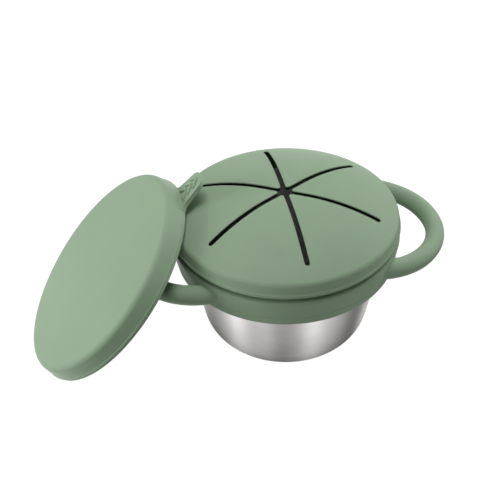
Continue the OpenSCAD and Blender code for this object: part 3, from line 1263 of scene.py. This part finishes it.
        offset = nodes.out("ShaderNodeCombineXYZ", {"X": start.outputs["Pitch"]})
        row = nodes.out(
            "GeometryNodeMeshLine", {"Count": start.outputs["Count"], "Offset": offset}
        )
        copies = nodes.out("GeometryNodeInstanceOnPoints", {"Points": row, "Instance": rib})
        return end_tree(nodes, start, copies)

    def rib_mesh(self) -> Mesh:
        """Grip ribs in the lid's frame, in metres."""
        empty = bpy.data.meshes.new("ribs")
        made = grow(empty, self.rib_tree(), {
            "Count": self.ribs, "Pitch": self.rib_pitch * MM, "Half Length": self.rib_half * MM,
            "Bow": self.rib_bow * MM, "Width": self.rib_w * MM, "Height": self.rib_h * MM,
        })
        first = (self.base_r + self.rib_pitch - self.rib_bow * self.rib_shift) * MM
        made.transform(Matrix.Translation((first, 0, self.thick * MM)))
        return made


@dataclass
class StorageLid:
    """Closed lid that leans on the set with its pull tab at the top."""

    bowl: SteelBowl
    lean: float = 44.939
    centre_x: float = 89.7252
    centre_z: float = 40.4035
    side: float = 176.8
    twist: float = 1.5
    tab_turn: float = 5.7
    segments: int = 480
    corner_in: float = 0.6
    corner_r: float = 0.5
    tab: PullTab = field(default_factory=PullTab)
    form: LidForm = field(init=False)

    def __post_init__(self) -> None:
        """Sets the lid's section."""
        self.form = LidForm(self.bowl, height=11.4, rise=1.2, flat=0)

    def pose(self) -> Matrix:
        """Place of the leaning lid in the row frame, in metres."""
        side = Matrix.Rotation(math.radians(self.side), 4, "Z")
        shift = Matrix.Translation((self.centre_x * MM, 0, self.centre_z * MM))
        twist = Matrix.Rotation(math.radians(self.twist), 4, "Z")
        lean = Matrix.Rotation(math.radians(self.lean), 4, "Y")
        return side @ shift @ twist @ lean

    def disc(self) -> Object:
        """Builds the lid's body."""
        form = self.form
        outer = form.skirt_path(form.plug_in)
        middle_r = np.linspace(0, form.plug_in, 22)[:-1]
        crown = np.stack([middle_r, form.skin(middle_r)], 1)
        under_r = np.linspace(form.plug_in - self.corner_in, 0, 20)
        under = np.stack([under_r, form.skin(under_r, form.skin_t)], 1)
        corner = rounded_path([outer[-6], outer[-1], under[0]], [0, self.corner_r, 0])[1:-1]
        path = np.concatenate([crown, outer[:-1], corner, under])
        return turned(dense(path, 2.0), self.segments, "storage_lid_disc", 45)

    def build(self) -> list[Object]:
        """Builds the lid, its tab and the tab's ribs, and dresses them."""
        turn = Matrix.Rotation(math.radians(180 + self.tab_turn), 4, "Z")
        disc = self.disc()
        disc.data.transform(self.pose())
        points, faces = self.tab.plate()
        tab = make_object("pull_tab", points, faces, 50)
        tab.data.transform(self.pose() @ turn)
        ribs = finish_mesh("tab_ribs", self.tab.rib_mesh(), 60)
        ribs.data.transform(self.pose() @ turn)
        dress(disc, Silicone(), Slot.SILICONE, Body.STORAGE_LID, "storage_lid")
        for piece in (tab, ribs):
            dress(piece, Silicone(), Slot.SILICONE, Body.STORAGE_LID)
        return [disc, tab, ribs]


# Studio.


@dataclass(frozen=True)
class Lamp:
    """Soft square lamp that looks at a point."""

    name: str
    place: tuple[float, float, float]
    watts: float
    size: float = 0.45
    target: tuple[float, float, float] = (0, 0, 0.04)

    def build(self) -> None:
        """Builds the lamp."""
        data = bpy.data.lights.new(self.name, "AREA")
        data.shape = "RECTANGLE"
        data.size = data.size_y = self.size
        data.energy = self.watts
        lamp = link(bpy.data.objects.new(self.name, data))
        lamp.location = self.place
        aim = Vector(self.target) - Vector(self.place)
        lamp.rotation_mode = "QUATERNION"
        lamp.rotation_quaternion = aim.to_track_quat("-Z", "Y")


@dataclass
class Studio:
    """Plain white floor, soft lamps and the camera."""

    eye: tuple[float, float, float] = (-0.0706, -0.3385, 0.3354)
    right: tuple[float, float, float] = (0.98552, -0.16608, -0.03415)
    up: tuple[float, float, float] = (0.13095, 0.61760, 0.77555)
    ahead: tuple[float, float, float] = (0.10771, 0.76879, -0.63040)
    lens: float = 65.22
    sensor: float = 36
    ambient: float = 0.11
    bands: tuple[float, ...] = (
        0.28, 0.44, 0.18, 0.92, 1.35, 2.32, 0.99, 0.68,
        1.44, 1.15, 2.53, 1.91, 1.21, 1.91, 2.53, 1.15,
        1.44, 0.68, 0.99, 2.32, 1.35, 0.92, 0.18, 0.44,
    )
    # Painted shadow round the bowl's foot on the floor, seen only by gloss: full out to the first
    # radius, gone by the second, in metres.
    painted_foot_shadow: tuple[float, float] = (0.05, 0.1)
    high_fade: tuple[float, float, float] = (0.55, 0.95, 0.15)
    floor_half: float = 3.0
    floor_drop: float = 0.00005
    floor_grey: float = 0.65
    floor_rough: float = 0.9
    floor_gloss: float = 0.1
    floor_glow: float = 1.1
    glow_share: float = 0.9
    lamps: tuple[Lamp, ...] = (
        Lamp("top_lamp", (0, 0, 1.1), 6.6, 0.5),
        Lamp("left_lamp", (-1.08, -0.02, 0.23), 6.6),
        Lamp("right_lamp", (1.06, 0.09, 0.3), 1.9),
        Lamp("back_lamp", (0.75, 0.43, 0.68), 3.5),
    )

    def camera(self) -> None:
        """Places the camera at the photograph's viewing angle."""
        data = bpy.data.cameras.new("camera")
        data.lens, data.sensor_width = self.lens, self.sensor
        data.clip_start, data.clip_end = 0.01, 20
        camera = link(bpy.data.objects.new("camera", data))
        axes = Matrix((self.right, self.up, tuple(-a for a in self.ahead))).transposed()
        camera.matrix_world = Matrix.Translation(self.eye) @ axes.to_4x4()
        bpy.context.scene.camera = camera

    def bands_at(self, nodes: Nodes, place: NodeSocket) -> NodeSocket:
        """Light that gloss meets: tall soft panels with darker gaps between them.

        Args:
            nodes: Tree that gets the nodes.
            place: A direction, or a place on the floor.

        Returns:
            The strength at the azimuth of the place.
        """
        parts = nodes.add("ShaderNodeSeparateXYZ", {0: place})
        angle = nodes.maths("ARCTAN2", parts.outputs[1], parts.outputs[0])
        share = nodes.maths("FRACT", nodes.maths("DIVIDE", angle, math.tau))
        ramp = nodes.add("ShaderNodeValToRGB", {0: share})
        stops, count, peak = ramp.color_ramp.elements, len(self.bands), max(self.bands)
        for i in range(1, count):
            stops.new(i / count)
        for i, stop in enumerate(stops):
            stop.color = (*([self.bands[i % count] / peak] * 3), 1)
        return nodes.maths("MULTIPLY", ramp.outputs[0], peak)

    def floor(self) -> None:
        """Builds a pale floor that is white to the camera but keeps the shadow."""
        mesh = bpy.data.meshes.new("floor")
        signs = ((-1, -1), (1, -1), (1, 1), (-1, 1))
        corners = [(x * self.floor_half, y * self.floor_half, 0) for x, y in signs]
        mesh.from_pydata(corners, [], [(0, 1, 2, 3)])
        floor = link(bpy.data.objects.new("floor", mesh))
        floor.location.z = -self.floor_drop
        made, nodes, shader = new_material("floor")
        grey = (self.floor_grey, self.floor_grey, self.floor_grey, 1)
        nodes.feed(shader, {
            "Base Color": grey, "Roughness": self.floor_rough,
            "Specular IOR Level": self.floor_gloss,
        })
        # To gloss rays the floor is all glow: a painted reflection of the panels, with a painted
        # shadow round the bowl's foot.
        place = nodes.add("ShaderNodeTexCoord").outputs["Object"]
        away = nodes.add("ShaderNodeVectorMath", {0: place}, operation="LENGTH").outputs["Value"]
        near, far = self.painted_foot_shadow
        clear = nodes.out(
            "ShaderNodeMapRange", {0: away, 1: near, 2: far}, interpolation_type="SMOOTHSTEP"
        )
        seen = nodes.add("ShaderNodeLightPath")
        camera, gloss = seen.outputs["Is Camera Ray"], seen.outputs["Is Glossy Ray"]
        shine = nodes.maths("MULTIPLY", self.bands_at(nodes, place), clear)
        shine = nodes.maths("MULTIPLY", gloss, shine)
        plain = nodes.maths("MULTIPLY", camera, self.floor_glow)
        glow = nodes.out("ShaderNodeEmission", {"Strength": nodes.maths("ADD", plain, shine)})
        share = nodes.maths("ADD", nodes.maths("MULTIPLY", camera, self.glow_share), gloss)
        mix = nodes.out("ShaderNodeMixShader", {0: share, 1: shader.outputs[0], 2: glow})
        nodes.feed(made.node_tree.nodes["Material Output"], {0: mix})
        mesh.materials.append(made)

    def world(self) -> None:
        """Sets the soft light from all round, and a white background.

        Metal shows the background as tall soft panels with darker gaps between them.
        """
        world = bpy.data.worlds.new("studio")
        bpy.context.scene.world = world
        world.use_nodes = True
        nodes = Nodes(world.node_tree)
        seen = nodes.add("ShaderNodeLightPath").outputs
        gloss = seen["Is Glossy Ray"]
        direction = nodes.add("ShaderNodeTexCoord").outputs["Generated"]
        height = nodes.add("ShaderNodeSeparateXYZ", {0: direction}).outputs[2]
        start, end, left = self.high_fade
        low = nodes.out(
            "ShaderNodeMapRange", {0: height, 1: start, 2: end, 3: 1.0, 4: left},
            interpolation_type="SMOOTHSTEP",
        )
        shine = nodes.maths("MULTIPLY", self.bands_at(nodes, direction), low)
        plain = nodes.maths("MAXIMUM", seen["Is Camera Ray"], seen["Is Transmission Ray"])
        other = nodes.maths("SUBTRACT", 1.0, nodes.maths("MAXIMUM", plain, gloss))
        total = nodes.maths("ADD", plain, nodes.maths("MULTIPLY", shine, gloss))
        total = nodes.maths("ADD", total, nodes.maths("MULTIPLY", other, self.ambient))
        back = world.node_tree.nodes["Background"]
        nodes.feed(back, {"Color": (1, 1, 1, 1), "Strength": total})

    def build(self) -> None:
        """Builds the studio."""
        bpy.context.scene.view_settings.view_transform = "Standard"
        self.camera()
        self.floor()
        self.world()
        for lamp in self.lamps:
            lamp.build()


def main() -> None:
    """Builds the set and its studio."""
    logging.basicConfig(level=logging.INFO, format="%(message)s")
    Studio().build()
    bowl = SteelBowl()
    bowl.build()
    HandleSleeve(bowl).build()
    SnackLid(bowl).build()
    StorageLid(bowl).build()


if __name__ == "__main__":
    main()
